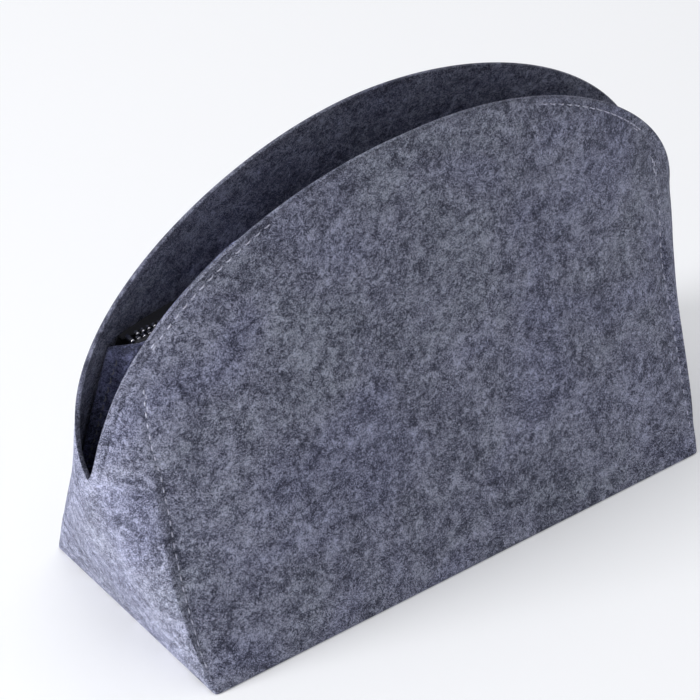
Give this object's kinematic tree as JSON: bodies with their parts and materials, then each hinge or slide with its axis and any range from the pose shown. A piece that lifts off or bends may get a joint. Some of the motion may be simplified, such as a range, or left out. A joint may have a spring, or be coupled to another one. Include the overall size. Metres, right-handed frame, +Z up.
{
  "type": "purse organizer insert",
  "caption": "Free-standing felt organizer insert for a domed handbag, with arched front and back, an open inner pocket and a zipped inner pocket.",
  "frame": {"origin": "middle of the base, on the surface it stands on", "axes": "+X along the length, towards the end where the zip's slider is parked; +Y from the front to the back; +Z up"},
  "size_m": [0.3236, 0.126, 0.2195],
  "materials": {
    "felt": "melange wool-look felt, soft and matte",
    "zip_tape": "woven tape, matte",
    "zip_metal": "polished nickel"
  },
  "bodies": {
    "body": {"front_panel": "felt", "back_panel": "felt", "base_panel": "felt", "front_pocket_panel": "felt", "zip_pocket_panel": "felt", "zip_tape_front": "zip_tape", "zip_tape_back": "zip_tape", "zip_teeth_front": "zip_metal", "zip_teeth_back": "zip_metal", "zip_top_stop_front": "zip_metal", "zip_top_stop_back": "zip_metal", "zip_bottom_stop": "zip_metal"},
    "slider": {"zip_slider": "zip_metal"},
    "pull_tab": {"zip_pull_tab": "zip_metal"}
  },
  "joints": [
    {"name": "zip_slide", "type": "slide", "parent": "body", "child": "slider", "axis": [-1, 0, 0], "range_m": [0, 0.243]},
    {"name": "pull_tab_hinge", "type": "hinge", "parent": "slider", "child": "pull_tab", "pos_m": [0.12171, 0.01228, 0.15068], "axis": [0, -1, 0], "range_deg": [0, 175]}
  ]
}
